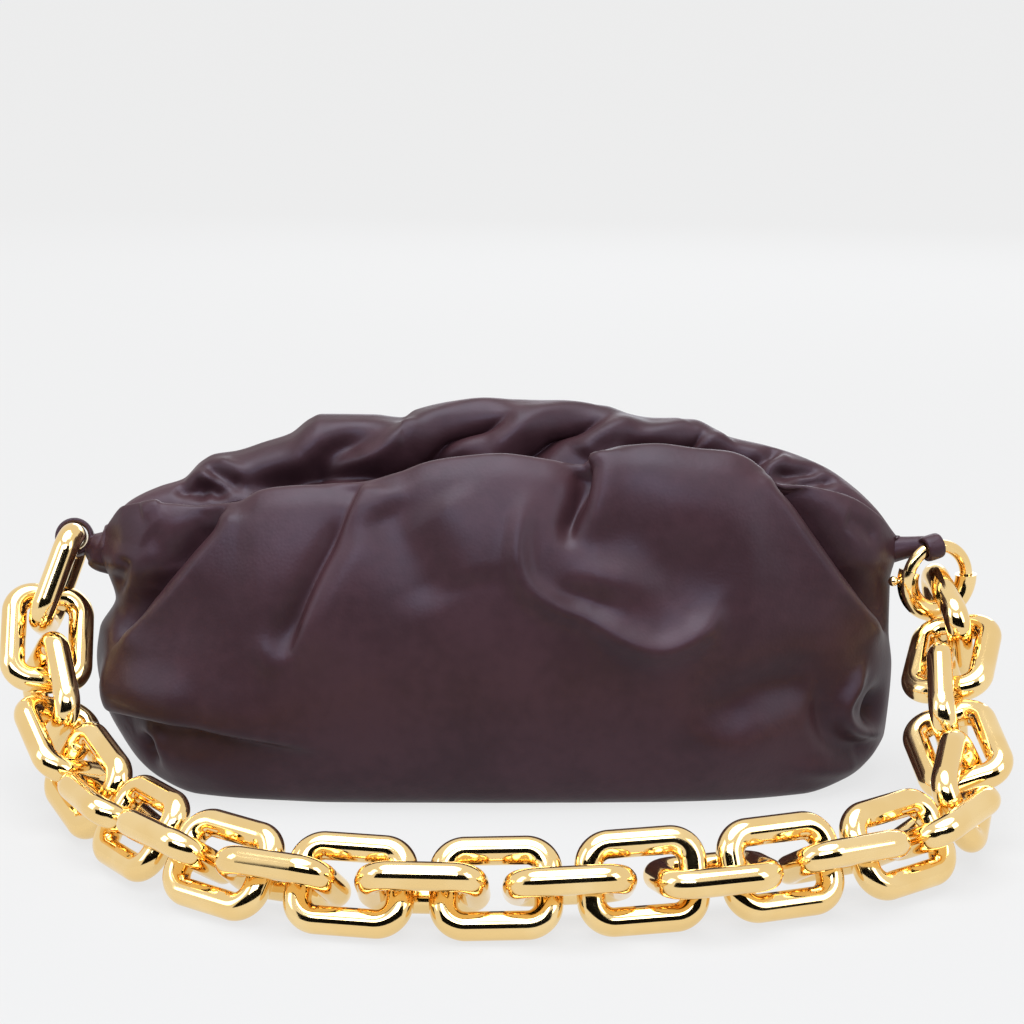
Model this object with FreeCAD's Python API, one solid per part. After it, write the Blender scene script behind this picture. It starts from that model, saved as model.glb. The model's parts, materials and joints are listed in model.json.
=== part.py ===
import FreeCAD
import Part
import math
import os

from FreeCAD import Matrix, Vector

# A soft leather pouch with a hinged frame in its mouth, carried by a loop of heavy gold links.
# Millimetres. X runs along the mouth, -Y is the front, Z is up, and the base lies on Z = 0.

# Pouch
pouch_length = 310.0
pouch_depth = 116.0
pouch_height = 147.0
leather = 1.8
lining_cloth = 0.8
layer_gap = 0.3
mouth_gap = 0.8
gather_angle = 38.5
gather_gap_angle = 0.4
board_length = 226.0
board_thickness = 2.0
pocket_width = 110.0
pocket_foot = 26.0
pocket_top = 76.0
pocket_leather = 1.0

# The pouch's outline from front to back, as shares of half its depth and of its height
outline_shares = (
    (0.0, -0.03),
    (-0.42, -0.03),
    (-0.78, 0.0),
    (-0.97, 0.17),
    (-1.0, 0.4),
    (-0.9, 0.64),
    (-0.72, 0.83),
    (-0.44, 0.935),
    (-0.17, 0.885),
    (0.0, 0.8),
    (0.16, 0.9),
    (0.42, 1.0),
    (0.7, 0.86),
    (0.9, 0.64),
    (0.98, 0.4),
    (0.95, 0.17),
    (0.78, 0.0),
    (0.42, -0.03),
)
# The mouth is the upper of the two points on the middle plane
mouth_point = max(i for i, point in enumerate(outline_shares) if point[0] == 0)
valley_fill_share = 0.13
# Places along half the length, with shares there of the depth, the height and the base's lift
station_shares = (
    (0.0, 1.0, 1.0, 0.0),
    (0.38, 0.98, 0.98, 0.0),
    (0.62, 0.88, 0.9, 0.0),
    (0.8, 0.69, 0.82, 0.0),
    (0.93, 0.44, 0.76, 0.06),
    (1.0, 0.22, 0.72, 0.2),
)

# Mouth frame, its hinge pins and its magnets
hinge_drop = 8.5
bar_thickness = 2.0
bar_height = 8.0
bar_gap = 0.3
lug_radius = 4.4
lug_thickness = 1.5
lug_clearance = 0.4
pin_radius = 1.8
pin_head_radius = 3.4
pin_head = 1.4
pin_fit = 0.1
pin_clearance = 0.4
magnet_radius = 2.8
magnet_foot = 0.2
magnet_thickness = 1.2
magnet_spread = 96.0

# Strap links
link_length = 46.0
link_width = 36.5
link_bar = 10.0
link_bend = 7.6
link_gap = 0.9
link_count = 25

# Tabs that carry the strap
tab_width = 7.4
tab_leather = 2.2
tab_fit = 0.5
tab_neck_radius = 4.2
tab_end_gap = 0.3

# Spring ring clasp
ring_diameter = 35.0
ring_tube = 8.5
ring_bolt = 5.0
ring_bore_fit = 0.3
ring_turn = 22.0
ring_lean = 12.0
tube_start_angle = 100.0
tube_end_angle = 300.0
socket_angle = 6.0
bolt_tail_angle = 278.0
knob_angle = 284.0
knob_travel = 36.0
bore_end_angle = 212.0
spring_wall = 0.8
spring_gap_angle = 1.5
knob_radius = 2.0
knob_stem = 1.1
slot_fit = 0.35

# The strap's route from the left tab to the ring, as shares of the half span,
# of the reach in front and of the drop from the hinge to the floor
strap_stand_off = 15.0
strap_reach = 178.0
route_shares = (
    (-1.0, 0.005, 1.0),
    (-1.05, 0.08, 0.63),
    (-1.035, 0.17, 0.4),
    (-0.98, 0.3, 0.18),
    (-0.89, 0.45, 0.03),
    (-0.74, 0.69, 0.01),
    (-0.55, 0.88, 0.0),
    (-0.3, 0.98, 0.0),
    (0.0, 1.0, 0.0),
    (0.36, 0.98, 0.03),
    (0.68, 0.88, 0.03),
    (0.88, 0.76, 0.03),
    (0.99, 0.64, 0.07),
    (1.03, 0.5, 0.17),
    (1.01, 0.38, 0.29),
    (1.02, 0.26, 0.45),
    (1.06, 0.14, 0.6),
    (1.04, 0.0, 0.71),
)
# How far each link is rolled about its own length, from flat
link_rolls = (
    50, -15, 75, -20, 60, -28, 52, -36, 52, -38, 52, -38, 53,
    -28, 66, -10, 62, -30, 56, -28, 66, -20, 75, -12, 78,
)
floor_roll = 60.0

drive_reach = 400.0

half_length = pouch_length / 2
half_depth = pouch_depth / 2
end_height_share, end_lift_share = station_shares[-1][2:]
end_mouth_share = end_lift_share + (end_height_share - end_lift_share) * (
    outline_shares[mouth_point][1] + valley_fill_share)
hinge_height = end_mouth_share * pouch_height - hinge_drop
strap_half_span = half_length + strap_stand_off
ring_radius = (ring_diameter - ring_tube) / 2
link_half = (link_length - link_bar) / 2
link_side = (link_width - link_bar) / 2
link_pitch = link_length - 2 * link_bar - link_gap
floor_height = link_bar / 2 + link_side * math.sin(math.radians(floor_roll))


def outline_parameters():
    """Knots for the outline, spaced by its chords, so that every section shares them."""
    points = [Vector(0, y * half_depth, z * pouch_height) for y, z in outline_shares]
    steps = [0.0]
    for here, after in zip(points, points[1:] + points[:1]):
        steps.append(steps[-1] + here.distanceToPoint(after))
    return [s / steps[-1] for s in steps]


def section(x, depth_share, height_share, lift_share, inset):
    """One closed outline across the pouch, drawn in by a layer's depth."""
    lift = lift_share * pouch_height
    rise = height_share * pouch_height - lift
    fill = valley_fill_share * (1 - height_share) / (1 - station_shares[-1][2])
    points = []
    for i, (y, z) in enumerate(outline_shares):
        if i == mouth_point:
            z += fill
        points.append(Vector(x, y * half_depth * depth_share, lift + z * rise))
    drawn = []
    for i, point in enumerate(points):
        run = points[(i + 1) % len(points)] - points[i - 1]
        inward = Vector(0, run.z, -run.y).normalize()
        drawn.append(point + inward * inset)
    curve = Part.BSplineCurve()
    curve.interpolate(Points=drawn, PeriodicFlag=True, Parameters=outline_parameters())
    return Part.Wire([curve.toShape()])


def pouch_form(inset, floor=None):
    """The pouch's space at one depth below its outer face, flat underneath."""
    reach = (half_length - inset) / half_length
    left = [(-s[0],) + s[1:] for s in reversed(station_shares[1:])]
    wires = [section(x * half_length * reach, d, h, lift, inset)
             for x, d, h, lift in left + list(station_shares)]
    low = inset if floor is None else floor
    return Part.makeLoft(wires, True).common(slab(z=(low, 2 * pouch_height)))


def slab(x=None, y=None, z=None):
    """A block between two limits on each axis, wide open where none are given."""
    limits = [pair or (-drive_reach, drive_reach) for pair in (x, y, z)]
    low = Vector(*[pair[0] for pair in limits])
    size = [pair[1] - pair[0] for pair in limits]
    return Part.makeBox(*size, low)


def rod(start, end, radius):
    """A round bar between two points."""
    run = end - start
    return Part.makeCylinder(radius, run.Length, start, run)


def hinge_rod(side, start, end, radius):
    """A round bar on the hinge line, from one distance along it to another."""
    return rod(Vector(side * start, 0, hinge_height), Vector(side * end, 0, hinge_height), radius)


def wedge(first, last):
    """The space between two planes through the hinge line, angles up from the front."""
    def corner(angle, reach):
        turn = math.radians(angle)
        return Vector(-drive_reach, -reach * math.cos(turn), hinge_height + reach * math.sin(turn))

    points = [Vector(-drive_reach, 0, hinge_height), corner(first, drive_reach),
              corner((first + last) / 2, 2 * drive_reach), corner(last, drive_reach)]
    face = Part.Face(Part.makePolygon(points + points[:1]))
    return face.extrude(Vector(2 * drive_reach, 0, 0))


def leather_pieces():
    """The outer leather, parted at the side seams and at the fold of the front."""
    shell = pouch_form(0, 0).cut(pouch_form(leather))
    for side in (-1, 1):
        shell = shell.cut(hinge_rod(side, half_length / 2, pouch_length, pin_radius + pin_clearance))
    front = slab(y=(-drive_reach, -mouth_gap / 2))
    return {
        "back_panel": shell.common(slab(y=(0, drive_reach))).cut(
            slab(y=(-mouth_gap, mouth_gap / 2), z=(hinge_height, drive_reach))),
        "front_panel": shell.common(slab(y=(-drive_reach, 0), z=(0, hinge_height))),
        "front_gather": shell.common(wedge(0, gather_angle)).common(front),
        "front_lip": shell.common(wedge(gather_angle + gather_gap_angle, 90)).common(front),
    }


def lining_pieces():
    """The cloth lining, its base board and the slip pocket on the back wall."""
    outside = leather + layer_gap
    inside = outside + lining_cloth
    room = pouch_form(inside)
    lining = pouch_form(outside).cut(room)
    front_top = slab(y=(-drive_reach, mouth_gap), z=(hinge_height - mouth_gap, drive_reach))
    lining = lining.cut(front_top)
    lug_room = lug_layers()[0][0] - 2 * lug_clearance - pin_head
    for side in (-1, 1):
        ends = sorted((side * lug_room, side * pouch_length))
        lining = lining.cut(slab(x=ends, z=(hinge_height - mouth_gap, drive_reach)))
        lining = lining.cut(hinge_rod(side, half_length / 2, pouch_length, pin_head_radius + pin_clearance))
    pocket_room = pouch_form(inside + layer_gap + pocket_leather, inside)
    board = pocket_room.common(slab(x=(-board_length / 2, board_length / 2),
                                    z=(inside, inside + board_thickness)))
    pocket = pouch_form(inside + layer_gap).common(
        slab(x=(-pocket_width / 2, pocket_width / 2), y=(0, drive_reach), z=(pocket_foot, pocket_top)))
    pocket = pocket.cut(pocket_room)
    return {"lining": lining, "base_board": board, "slip_pocket": pocket}


def frame_bar(front):
    """One half of the mouth frame: an arched strip under the lip with a lug at each end."""
    inset = leather + bar_gap if front else leather + layer_gap + lining_cloth + bar_gap
    sign = -1 if front else 1
    near = mouth_gap / 2 + magnet_thickness
    lug_out = lug_layers()[0 if front else 1][1]
    limits = sorted((sign * near, sign * (near + bar_thickness)))
    plate = pouch_form(inset).common(slab(x=(-lug_out, lug_out), y=limits))
    under = plate.copy()
    under.translate(Vector(0, 0, -bar_height))
    bar = plate.cut(under).common(slab(z=(hinge_height - lug_radius, drive_reach)))
    front_start, front_end = lug_layers()[0]
    head_start = front_start - 2 * lug_clearance - pin_head
    for side in (-1, 1):
        if front:
            room = hinge_rod(side, head_start, front_start, pin_head_radius + pin_clearance)
        else:
            room = hinge_rod(side, head_start, front_end + lug_clearance, lug_radius + lug_clearance)
        bar = bar.cut(room)
        start, end = lug_layers()[0 if front else 1]
        bar = bar.fuse(hinge_rod(side, start, end, lug_radius))
        bar = bar.cut(hinge_rod(side, half_length / 2, pouch_length, pin_radius + pin_fit))
    return bar.removeSplitter()


def lug_layers():
    """Where the front and the back lugs lie along the hinge line, inside the pouch's ends."""
    back_end = half_length - leather - layer_gap - lining_cloth - lug_clearance
    back_start = back_end - lug_thickness
    front_end = back_start - lug_clearance
    return (front_end - lug_thickness, front_end), (back_start, back_end)


def magnets(front):
    """The discs that hold the mouth shut, on the facing sides of the frame."""
    sign = -1 if front else 1
    arch = frame_bar(front)
    discs = []
    for side in (-1, 1):
        x = side * magnet_spread / 2
        strip = arch.common(slab(x=(x - magnet_radius, x + magnet_radius)))
        height = strip.optimalBoundingBox().ZMin + magnet_foot + magnet_radius
        start = Vector(x, sign * (mouth_gap / 2 + magnet_thickness), height)
        discs.append(rod(start, start - Vector(0, sign * magnet_thickness, 0), magnet_radius))
    return Part.makeCompound(discs)


def hinge_pin(side):
    """The pin that both frame lugs and the tab's neck turn on."""
    inner = lug_layers()[0][0] - lug_clearance
    outer = half_length + tab_end_gap + tab_neck_length() - tab_leather
    shank = hinge_rod(side, inner, outer, pin_radius)
    return shank.fuse(hinge_rod(side, inner - pin_head, inner, pin_head_radius)).removeSplitter()


def tab_neck_length():
    return 2 * tab_leather + pin_radius


def lay(points_shares, reach):
    """The strap's smooth route for one reach in front of the pouch."""
    drop = hinge_height - floor_height
    points = [Vector(x * strap_half_span, -y * reach, floor_height + z * drop)
              for x, y, z in points_shares]
    curve = Part.BSplineCurve()
    curve.interpolate(points)
    return curve


def walk(curve):
    """Steps of one link's pitch along the route, and how many of them it holds."""
    start, stop = curve.FirstParameter, curve.LastParameter
    joints = [curve.value(start)]
    at = start
    while len(joints) <= 2 * link_count:
        low, high = at, stop
        if joints[-1].distanceToPoint(curve.value(stop)) < link_pitch:
            break
        step = (stop - start) / link_count
        high = at + step
        while high < stop and joints[-1].distanceToPoint(curve.value(high)) < link_pitch:
            high += step
        high = min(high, stop)
        for _ in range(40):
            middle = (low + high) / 2
            if joints[-1].distanceToPoint(curve.value(middle)) < link_pitch:
                low = middle
            else:
                high = middle
        at = high
        joints.append(curve.value(at))
    rest = joints[-1].distanceToPoint(curve.value(stop)) / link_pitch
    return joints, len(joints) - 1 + rest


def strap_joints():
    """The points where link meets link, on the reach that the links fill exactly."""
    low, high = strap_reach / 2, strap_reach * 2
    for _ in range(40):
        reach = (low + high) / 2
        if walk(lay(route_shares, reach))[1] < link_count:
            low = reach
        else:
            high = reach
    curve = lay(route_shares, reach)
    joints = walk(curve)[0][:link_count]
    return joints + [curve.value(curve.LastParameter)]


def link_frames():
    """For each link its centre, its length's direction and its width's direction."""
    joints = strap_joints()
    frames = []
    for first, last, roll in zip(joints, joints[1:], link_rolls):
        along = (last - first).normalize()
        level = Vector(0, 0, 1).cross(along).normalize()
        rise = along.cross(level)
        turn = math.radians(roll)
        frames.append(((first + last) * 0.5, along, level * math.cos(turn) + rise * math.sin(turn)))
    return frames


def placed(shape, centre, along, across):
    """A copy of a shape with its X and Y turned to two directions, moved to a centre."""
    normal = along.cross(across)
    return shape.transformed(Matrix(
        along.x, across.x, normal.x, centre.x,
        along.y, across.y, normal.y, centre.y,
        along.z, across.z, normal.z, centre.z,
        0, 0, 0, 1), copy=True)


def plain_link():
    """A rounded rectangle of round bar, lying flat on its own centre."""
    x, y = link_half - link_bend, link_side - link_bend
    section_x = Part.Face(Part.Wire([Part.makeCircle(
        link_bar / 2, Vector(-x, link_side, 0), Vector(1, 0, 0))]))
    section_y = Part.Face(Part.Wire([Part.makeCircle(
        link_bar / 2, Vector(link_half, y, 0), Vector(0, 1, 0))]))
    long_bar = section_x.extrude(Vector(2 * x, 0, 0))
    short_bar = section_y.extrude(Vector(0, -2 * y, 0))
    corner = section_y.revolve(Vector(x, y, 0), Vector(0, 0, 1), 90)
    pieces = [long_bar, short_bar, corner]
    pieces.append(corner.mirror(Vector(0, 0, 0), Vector(0, 1, 0)))
    half = pieces + [p.mirror(Vector(0, 0, 0), Vector(0, 1, 0)) for p in pieces[:1]]
    other = [p.mirror(Vector(0, 0, 0), Vector(1, 0, 0)) for p in pieces[1:]]
    whole = half[0]
    for piece in half[1:] + other:
        whole = whole.fuse(piece)
    return whole.removeSplitter()


def links():
    """The strap's links, from the left tab to the ring."""
    master = plain_link()
    return {f"strap_link_{i + 1:02d}": placed(master, *frame)
            for i, frame in enumerate(link_frames())}


def ring_frame():
    """The ring's centre, the direction across it and the direction up to its tab."""
    joint = strap_joints()[-1]
    along = link_frames()[-1][1]
    turn, lean = math.radians(ring_turn), math.radians(ring_lean)
    across = Vector(math.cos(turn), math.sin(turn), 0)
    up = Vector(0, 0, 1) * math.cos(lean) - across * math.sin(lean)
    across = across * math.cos(lean) + Vector(0, 0, 1) * math.sin(lean)
    centre = joint - along * ((ring_tube + link_gap) / 2) + up * ring_radius
    return centre, across, up


def ring_arc(radius, first, last):
    """A stretch of round bar on the ring's circle, angles clockwise from its top."""
    disc = Part.Face(Part.Wire([Part.makeCircle(radius, Vector(0, ring_radius, 0), Vector(1, 0, 0))]))
    disc.rotate(Vector(0, 0, 0), Vector(0, 0, -1), first)
    return disc.revolve(Vector(0, 0, 0), Vector(0, 0, -1), last - first)


def ring_point(angle, radius):
    """A point on the ring's plane."""
    turn = math.radians(angle)
    return Vector(radius * math.sin(turn), radius * math.cos(turn), 0)


def clasp():
    """The spring ring: its hollow tube, the bolt that slides in it with a knob, and the spring."""
    bore = ring_bolt / 2 + ring_bore_fit
    tube = ring_arc(ring_tube / 2, tube_start_angle, tube_end_angle)
    tube = tube.cut(ring_arc(bore, tube_start_angle - socket_angle, tube_start_angle + socket_angle))
    tube = tube.cut(ring_arc(bore, bore_end_angle, tube_end_angle + socket_angle))
    slot_half = knob_stem + slot_fit
    slot_angle = math.degrees(slot_half / ring_radius)
    corners = [Vector(0, ring_radius, -slot_half), Vector(0, ring_radius + ring_tube, -slot_half),
               Vector(0, ring_radius + ring_tube, slot_half), Vector(0, ring_radius, slot_half)]
    blade = Part.Face(Part.makePolygon(corners + corners[:1]))
    blade.rotate(Vector(0, 0, 0), Vector(0, 0, -1), knob_angle - knob_travel - 2 * slot_angle)
    tube = tube.cut(blade.revolve(Vector(0, 0, 0), Vector(0, 0, -1), knob_travel + 4 * slot_angle))
    bolt = ring_arc(ring_bolt / 2, bolt_tail_angle, 360 + tube_start_angle + socket_angle / 2)
    knob_out = ring_radius + ring_tube / 2 + knob_radius + slot_fit
    bolt = bolt.fuse(rod(ring_point(knob_angle, ring_radius), ring_point(knob_angle, knob_out), knob_stem))
    bolt = bolt.fuse(Part.makeSphere(knob_radius, ring_point(knob_angle, knob_out)))
    spring_radius = ring_bolt / 2
    spring = ring_arc(spring_radius, bore_end_angle, bolt_tail_angle - spring_gap_angle)
    hollow = ring_arc(spring_radius - spring_wall, bore_end_angle - socket_angle, bolt_tail_angle)
    spring = spring.cut(hollow)
    frame = ring_frame()
    return {name: placed(shape, *frame) for name, shape in
            (("clasp_tube", tube), ("clasp_bolt", bolt.removeSplitter()), ("clasp_spring", spring))}


def tab(side, centre, axis, hole, bar_radius):
    """A folded leather loop round a bar, with a neck that turns on the hinge pin."""
    axis = Vector(axis).normalize()
    start = centre - axis * (tab_width / 2)
    end = centre + axis * (tab_width / 2)
    loop = rod(start, end, bar_radius + tab_fit + tab_leather)
    neck_start = half_length + tab_end_gap
    neck = hinge_rod(side, neck_start, neck_start + tab_neck_length(), tab_neck_radius)
    neck_end = Vector(side * (neck_start + tab_neck_length() / 2), 0, hinge_height)
    bridge = rod(neck_end, centre, tab_neck_radius)
    whole = loop.fuse(bridge).fuse(neck)
    whole = whole.common(slab(x=sorted((side * neck_start, side * drive_reach)))).cut(hole)
    pin_end = neck_start + tab_neck_length() - tab_leather + pin_fit
    whole = whole.cut(hinge_rod(side, half_length, pin_end, pin_radius + pin_fit))
    return max(whole.Solids, key=lambda s: s.Volume)


def tabs():
    """The left tab round the first link's end bar and the right one round the ring's bolt."""
    centre, along, across = link_frames()[0]
    first_bar = centre - along * link_half
    straight = rod(first_bar - across * link_width, first_bar + across * link_width,
                   link_bar / 2 + tab_fit)
    ring_centre, ring_across, ring_up = ring_frame()
    curved = placed(ring_arc(ring_bolt / 2 + tab_fit, tube_end_angle, 360 + tube_start_angle),
                    ring_centre, ring_across, ring_up)
    return {
        "left_tab": tab(-1, first_bar, across, straight, link_bar / 2),
        "right_tab": tab(1, ring_centre + ring_up * ring_radius, ring_across, curved, ring_bolt / 2),
    }


def all_pieces():
    pieces = {}
    pieces.update(leather_pieces())
    pieces.update(lining_pieces())
    pieces["front_frame_bar"] = frame_bar(True)
    pieces["back_frame_bar"] = frame_bar(False)
    pieces["front_magnets"] = magnets(True)
    pieces["back_magnets"] = magnets(False)
    pieces["left_hinge_pin"] = hinge_pin(-1)
    pieces["right_hinge_pin"] = hinge_pin(1)
    pieces.update(tabs())
    pieces.update(clasp())
    pieces.update(links())
    return pieces


def main():
    os.makedirs("parts", exist_ok=True)
    for name, shape in all_pieces().items():
        shape.exportStep(f"parts/{name}.step")
        print(name, len(shape.Solids), round(shape.Volume), shape.isValid())


if __name__ == "__main__":
    main()
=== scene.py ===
# %% [markdown]
# A soft leather pouch with a loop of heavy gold links for its strap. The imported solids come
# first, as a fixed frame in metres: the links, the spring ring and the mouth frame stay and only
# get finishes, while all that is leather or cloth is modelled here as soft shells.

# %% The frame
import bpy
import json
import math
import numpy as np
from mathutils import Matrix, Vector
from mathutils.bvhtree import BVHTree


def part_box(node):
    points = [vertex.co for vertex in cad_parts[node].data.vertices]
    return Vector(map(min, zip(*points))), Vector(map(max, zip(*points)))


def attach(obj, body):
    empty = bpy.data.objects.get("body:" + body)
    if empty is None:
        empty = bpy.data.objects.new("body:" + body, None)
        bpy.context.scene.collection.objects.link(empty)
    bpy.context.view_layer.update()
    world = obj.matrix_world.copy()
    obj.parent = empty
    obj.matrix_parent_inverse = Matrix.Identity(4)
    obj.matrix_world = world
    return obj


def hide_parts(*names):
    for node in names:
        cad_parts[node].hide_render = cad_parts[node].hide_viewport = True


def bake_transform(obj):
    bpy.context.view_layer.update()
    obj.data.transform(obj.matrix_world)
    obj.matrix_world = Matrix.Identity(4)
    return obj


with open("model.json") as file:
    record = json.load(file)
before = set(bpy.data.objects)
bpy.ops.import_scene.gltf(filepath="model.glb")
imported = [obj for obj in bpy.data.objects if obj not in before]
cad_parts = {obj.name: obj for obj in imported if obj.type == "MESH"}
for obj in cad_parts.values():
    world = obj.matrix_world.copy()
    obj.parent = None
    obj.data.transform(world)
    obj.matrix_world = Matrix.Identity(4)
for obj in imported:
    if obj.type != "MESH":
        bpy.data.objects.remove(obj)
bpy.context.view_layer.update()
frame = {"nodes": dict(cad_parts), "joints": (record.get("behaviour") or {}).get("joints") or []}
nodes = frame["nodes"]
joints = {joint["name"]: joint for joint in frame["joints"]}
MM = 0.001

# %% [markdown]
# Blender keeps what a thing is, such as a mesh or a lamp, apart from the object that shows it. Two
# helpers join the steps: one puts any data into the scene, and one makes a mesh with its finish.

# %% Objects
def put_in_scene(name, data):
    """A new object in the scene, for a mesh, a lamp or a camera."""
    made = bpy.data.objects.new(name, data)
    bpy.context.scene.collection.objects.link(made)
    return made


def mesh_object(name, points, faces, finish):
    mesh = bpy.data.meshes.new(name)
    mesh.from_pydata(points, [], faces)
    mesh.materials.append(finish)
    return put_in_scene(name, mesh)


print("object helpers ready")

# %% [markdown]
# The camera is worked out from the photograph: a long lens a metre away, a little above the
# pouch and looking down at it. The same numbers turn a point of the picture into a line of sight,
# which is how the folds of the leather find their places later on.

# %% Camera
image_size = 1024
focal_pixels = 2750
sensor_width = 36.0
look_down = math.radians(13)
eye = Vector((0.006, -1.0647, 0.3532))
rightward = Vector((1, 0, 0))
forward = Vector((0, math.cos(look_down), -math.sin(look_down)))
upward = Vector((0, math.sin(look_down), math.cos(look_down)))

camera = put_in_scene("camera", bpy.data.cameras.new("camera"))
camera.data.sensor_width = sensor_width
camera.data.lens = sensor_width * focal_pixels / image_size
camera.location = eye
camera.rotation_euler = (math.pi / 2 - look_down, 0, 0)
bpy.context.scene.camera = camera


def line_of_sight(across, down):
    """The direction from the eye through one pixel of the picture."""
    aside = rightward * (across - image_size / 2) / focal_pixels
    below = upward * (down - image_size / 2) / focal_pixels
    return (forward + aside - below).normalized()


print(f"lens {camera.data.lens:.1f} mm")

# %% [markdown]
# Shader nodes read best as sums. Value wraps one output of a node, and adding or multiplying values
# writes the Math nodes, also where the number comes first.

# %% Shader sums
class Value:
    """One output of a shader node, for use in Python sums."""

    def __init__(self, socket):
        self.socket = socket

    def math(self, operation, other):
        made = self.socket.id_data.nodes.new("ShaderNodeMath")
        made.operation = operation
        plug(made.inputs[0], self)
        plug(made.inputs[1], other)
        return Value(made.outputs[0])

    def __add__(self, other):
        return self.math("ADD", other)

    def __mul__(self, other):
        return self.math("MULTIPLY", other)

    __radd__ = __add__
    __rmul__ = __mul__


def plug(socket, value):
    """Links a value to a socket, or sets the socket to a plain number or colour."""
    if isinstance(value, Value):
        socket.id_data.links.new(value.socket, socket)
    else:
        socket.default_value = value


print("shader sums ready")

# %% [markdown]
# Every other node is made by a single method: its type, then its settings, then what goes into its
# sockets. Finish adds the steps that most materials share: a noise placed in metres on the object,
# a value spread between two ends, a colour between two, and bumps.

# %% Finishes
mix_share, mix_first, mix_second, mix_result = 0, 6, 7, 2  # a Mix node's sockets for colours


class Nodes:
    """A node tree, and one method that makes any node in it."""

    def __init__(self, tree):
        self.tree = tree

    def node(self, kind, settings, values, output=0):
        made = self.tree.nodes.new("ShaderNode" + kind)
        for name, setting in settings.items():
            setattr(made, name, setting)
        for name, value in values.items():
            plug(made.inputs[name], value)
        return Value(made.outputs[output])

    def seen(self):
        """1 for what the camera sees, also by way of a mirror or glass, and 0 for other light."""
        camera_ray = self.node("LightPath", {}, {}, "Is Camera Ray")
        mirror_ray = self.node("LightPath", {}, {}, "Is Glossy Ray")
        glass_ray = self.node("LightPath", {}, {}, "Is Transmission Ray")
        return camera_ray + mirror_ray + glass_ray


class Finish(Nodes):
    """One material, built from nodes round a Principled shader."""

    def __init__(self, name, **constants):
        self.material = bpy.data.materials.new(name)
        self.material.use_nodes = True
        super().__init__(self.material.node_tree)
        self.shader = self.tree.nodes["Principled BSDF"]
        for socket, value in constants.items():
            self.feed(socket.replace("_", " "), value)

    def feed(self, socket, value):
        plug(self.shader.inputs[socket], value)

    def place(self, stretch=(1, 1, 1)):
        """Where a point is on the object, in metres, stretched along each axis."""
        coordinates = self.node("TexCoord", {}, {}, "Object")
        return self.node("Mapping", {}, {"Vector": coordinates, "Scale": stretch})

    def noise(self, scale, detail=2.0, stretch=(1, 1, 1)):
        values = {"Vector": self.place(stretch), "Scale": scale, "Detail": detail}
        return self.node("TexNoise", {}, values)

    def ramp(self, value, low, high):
        """A value spread to run from 0 at low to 1 at high."""
        values = {"Value": value, "From Min": low, "From Max": high}
        return self.node("MapRange", {"interpolation_type": "SMOOTHSTEP"}, values)

    def colour(self, share, first, second):
        """Feeds the base colour with one between two, by a share from 0 to 1."""
        values = {mix_share: share, mix_first: first, mix_second: second}
        self.feed("Base Color", self.node("Mix", {"data_type": "RGBA"}, values, mix_result))

    def rough(self, share, low, high):
        """Feeds the roughness with one between two, by a share from 0 to 1."""
        self.feed("Roughness", low + share * (high - low))

    def bump(self, height, distance, strength, under=None):
        values = {"Height": height, "Distance": distance, "Strength": strength}
        if under is not None:
            values["Normal"] = under
        return self.node("Bump", {}, values)


print("finishes ready")

# %% [markdown]
# The pouch is smooth calf leather, dyed a dark aubergine brown. Up close it has a faint pebbled
# grain and fine wrinkles, and from a step away the dye and the shine are a little uneven. The
# grain is bump only; the folds are real geometry, made further down.

# %% Leather
deep_dye = (0.034, 0.0128, 0.0150, 1)
worn_dye = (0.050, 0.0200, 0.0242, 1)
cool_shine = (0.74, 0.80, 1.0, 1)
cloud_share = 0.75


def make_leather():
    finish = Finish("aubergine_leather", Specular_IOR_Level=0.29, Specular_Tint=cool_shine)
    clouds = finish.noise(scale=26.0, detail=3.0)
    specks = finish.noise(scale=210.0, detail=4.0)
    wear = finish.ramp(clouds * cloud_share + specks * (1 - cloud_share), low=0.36, high=0.66)
    finish.colour(wear, deep_dye, worn_dye)
    finish.rough(finish.noise(scale=60.0, detail=3.0), low=0.36, high=0.52)
    pebbles = finish.node("TexVoronoi", {"feature": "SMOOTH_F1"},
                          {"Vector": finish.place(), "Scale": 780.0, "Smoothness": 0.6})
    grain = finish.bump(pebbles, distance=0.00016, strength=0.24)
    wrinkles = finish.noise(scale=95.0, detail=5.0, stretch=(1.0, 1.0, 0.45))
    finish.feed("Normal", finish.bump(wrinkles, distance=0.0011, strength=0.12, under=grain))
    return finish.material


leather = make_leather()
print("finish", leather.name)

# %% [markdown]
# Inside, the pouch is lined with a pale suede cloth. Its short nap makes it matt, and its colour has
# soft blotches of painted light and shade, where the nap lies one way or the other.

# %% Suede lining
# A shaded and a lit tone of the same nap: the blotches between them are painted light and shade.
shaded_nap = (0.185, 0.118, 0.098, 1)
lit_nap = (0.235, 0.155, 0.130, 1)


def make_suede():
    finish = Finish("lining_suede", Specular_IOR_Level=0.15, Sheen_Weight=0.35, Sheen_Roughness=0.5)
    nap = finish.ramp(finish.noise(scale=48.0, detail=4.0), low=0.35, high=0.65)
    # Painted light and shade: the nap's blotches lighten and darken the colour.
    finish.colour(nap, shaded_nap, lit_nap)
    finish.rough(nap, low=0.82, high=0.92)
    finish.feed("Normal", finish.bump(finish.noise(scale=1500.0), distance=0.0002, strength=0.5))
    return finish.material


suede = make_suede()
print("finish", suede.name)

# %% [markdown]
# The strap is brass with a polished plating of yellow gold. A mirror needs things to reflect more
# than it needs texture, so the finish is nearly smooth: only a faint waviness from polishing and
# a few hairline marks.

# %% Gold
deep_gold = (0.93, 0.66, 0.29, 1)
bright_gold = (0.98, 0.73, 0.36, 1)


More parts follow.
